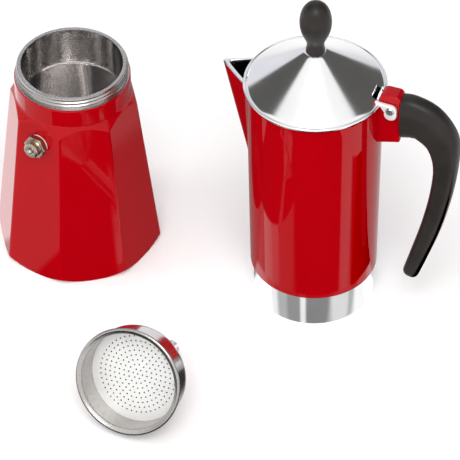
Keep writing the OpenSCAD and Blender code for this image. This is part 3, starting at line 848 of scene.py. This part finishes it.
def reflector():
    """Card on the floor that only mirrors see: dark, with lighter strips that give the glossy walls their
    streaks. A strip's edge is the line that the jug's wall mirrors at one angle from the camera."""
    card = level_square("reflector", 0.21)
    card.location = (JUG_X / 2 * MM, 0, CARD_LIFT)
    m = Surface("reflector")
    m.tree.nodes.remove(m.shader)
    glow = m.add("ShaderNodeEmission")
    m.link(glow.outputs[0], m.tree.nodes["Material Output"].inputs["Surface"])
    spot = m.add("ShaderNodeNewGeometry").outputs["Position"]

    def across(centre_x, heading):
        """Signed distance in mm from the line through (centre_x, 0) with that heading."""
        side = (-math.sin(heading), math.cos(heading))
        node = m.add("ShaderNodeVectorMath", operation="DOT_PRODUCT")
        m.link(spot, node.inputs[0])
        node.inputs[1].default_value = (side[0] / MM, side[1] / MM, 0)
        return m.calc("SUBTRACT", node.outputs["Value"], side[0] * centre_x)

    def edge(distance, width):
        return m.step(distance, -width / 2, width / 2)

    def jug_edge(degrees, width):
        """1 on the right of the line that the jug's wall mirrors at this many degrees from the camera."""
        phi = math.radians(degrees)
        shift = WALL_FOOT_R * math.sin(phi)
        return edge(m.calc("ADD", across(JUG_X, JUG_TO_CAMERA + 2 * phi), shift), width)

    def strips(start, levels):
        """Brightness that changes at each of the jug's edges: the angle, the edge's width, the new level."""
        value, before = start, start
        for degrees, width, level in levels:
            value = m.calc("ADD", value, m.calc("MULTIPLY", jug_edge(degrees, width), level - before))
            before = level
        return value

    def past(heading, distance, width):
        """1 where a point lies further than this many mm from the boiler's axis in that direction."""
        return edge(m.calc("SUBTRACT", across(0.0, heading - math.pi / 2), distance), width)

    def blend(low, high, share):
        inverse = m.calc("SUBTRACT", 1.0, share)
        return m.calc("ADD", m.calc("MULTIPLY", low, inverse), m.calc("MULTIPLY", high, share))

    # Seen in the jug's red wall, and near the jug's foot in its bare band
    wall = strips(DARK_CARD, [(-50, 2, 1.1), (-33, 4, 0.55), (-18, 10, DARK_CARD), (24, 6, 1.3),
                              (34, 10, DARK_CARD), (48, 8, 0.5)])
    band = strips(1.0, [(-38, 3, 0.5), (-27, 3, 0.33), (-13, 2, 1.0), (-7.5, 2, 0.27), (17, 6, 0.8),
                        (37, 3, 0.5), (44, 4, 1.1)])
    away = m.add("ShaderNodeVectorMath", operation="DISTANCE")
    m.link(spot, away.inputs[0])
    away.inputs[1].default_value = (JUG_X * MM, 0, 0)
    past_band = edge(m.calc("SUBTRACT", m.calc("DIVIDE", away.outputs["Value"], MM), BAND_VIEW_R), 4)
    jug_back = blend(0.3, 0.7, past(0.0, JUG_X, 20))
    away_from_camera = JUG_TO_CAMERA + math.pi
    behind = past(away_from_camera, JUG_X * math.cos(away_from_camera) + 2, 6)
    jug_side = blend(blend(band, wall, past_band), jug_back, behind)
    # Seen in the boiler's facets
    left = past(BOILER_TO_CAMERA - math.radians(132), -4, 5)
    far_left = m.calc("MULTIPLY", left, past(math.pi / 2, -22, 6))
    boiler_side = blend(blend(DARK_CARD, 0.7, left), 1.5, far_left)
    m.link(blend(boiler_side, jug_side, past(math.radians(38), 8.0, 3)), glow.inputs["Strength"])
    card.data.materials.append(m.material)
    for ray in ("camera", "diffuse", "transmission", "volume_scatter", "shadow"):
        setattr(card, f"visible_{ray}", False)


def camera():
    data = bpy.data.cameras.new("camera")
    data.sensor_width = 36
    data.lens = 312.3
    data.clip_end = 20
    obj = new_object("camera", data)
    turn = (CAMERA_AIM - CAMERA_AT).to_track_quat("-Z", "Y").to_matrix().to_4x4()
    roll = Matrix.Rotation(math.radians(-0.65), 4, "Z")
    obj.matrix_world = Matrix.Translation(CAMERA_AT * MM) @ turn @ roll
    bpy.context.scene.camera = obj


def soft_light(name, place, aim, size, power):
    data = bpy.data.lights.new(name, "AREA")
    data.energy = power
    data.size = size
    obj = new_object(name, data)
    obj.location = place
    obj.rotation_euler = (Vector(aim) - Vector(place)).to_track_quat("-Z", "Y").to_euler()
    obj.visible_camera = False
    return obj


def studio():
    """White surroundings with two darker side walls, and two large soft lamps."""
    scene = bpy.context.scene
    scene.view_settings.view_transform = "Standard"
    scene.world = bpy.data.worlds.new("studio")
    scene.world.use_nodes = True
    w = Tree(scene.world.node_tree)
    split = w.add("ShaderNodeSeparateXYZ")
    w.link(w.add("ShaderNodeTexCoord").outputs["Generated"], split.inputs[0])
    x, y, z = split.outputs
    front = (CAMERA_AT - CAMERA_AIM).xy.normalized()

    def along(direction_x, direction_y):
        return w.calc("ADD", w.calc("MULTIPLY", x, direction_x), w.calc("MULTIPLY", y, direction_y))

    def between(value, low, high):
        rise = w.step(value, low - WALL_SOFT, low + WALL_SOFT)
        return w.calc("MULTIPLY", rise, w.step(value, high + WALL_SOFT, high - WALL_SOFT))

    def wall(start, end, bottom, top):
        sides = between(turn, math.radians(start), math.radians(end))
        heights = between(z, math.sin(math.radians(bottom)), math.sin(math.radians(top)))
        return w.calc("MULTIPLY", sides, heights)

    turn = w.calc("ARCTAN2", along(-front.y, front.x), along(front.x, front.y))
    bright = between(turn, *map(math.radians, FRONT))
    dark = w.calc("MAXIMUM", wall(*RIGHT_WALL), wall(*LEFT_WALL))
    pale = w.mix(bright, (0.95, 0.95, 1.0, 1), (1.2, 1.19, 1.17, 1))
    background = w.tree.nodes["Background"]
    background.inputs["Strength"].default_value = 0.9
    w.link(w.mix(dark, pale, (0.12, 0.118, 0.112, 1)), background.inputs["Color"])
    middle = (0.08, -0.03, 0.07)
    soft_light("key", (0.35, -0.75, 1.15), middle, 0.7, 9)
    fill = soft_light("fill", (-1.0, -0.3, 0.8), middle, 0.6, 4)
    fill.visible_glossy = False


stage()
reflector()
camera()
studio()
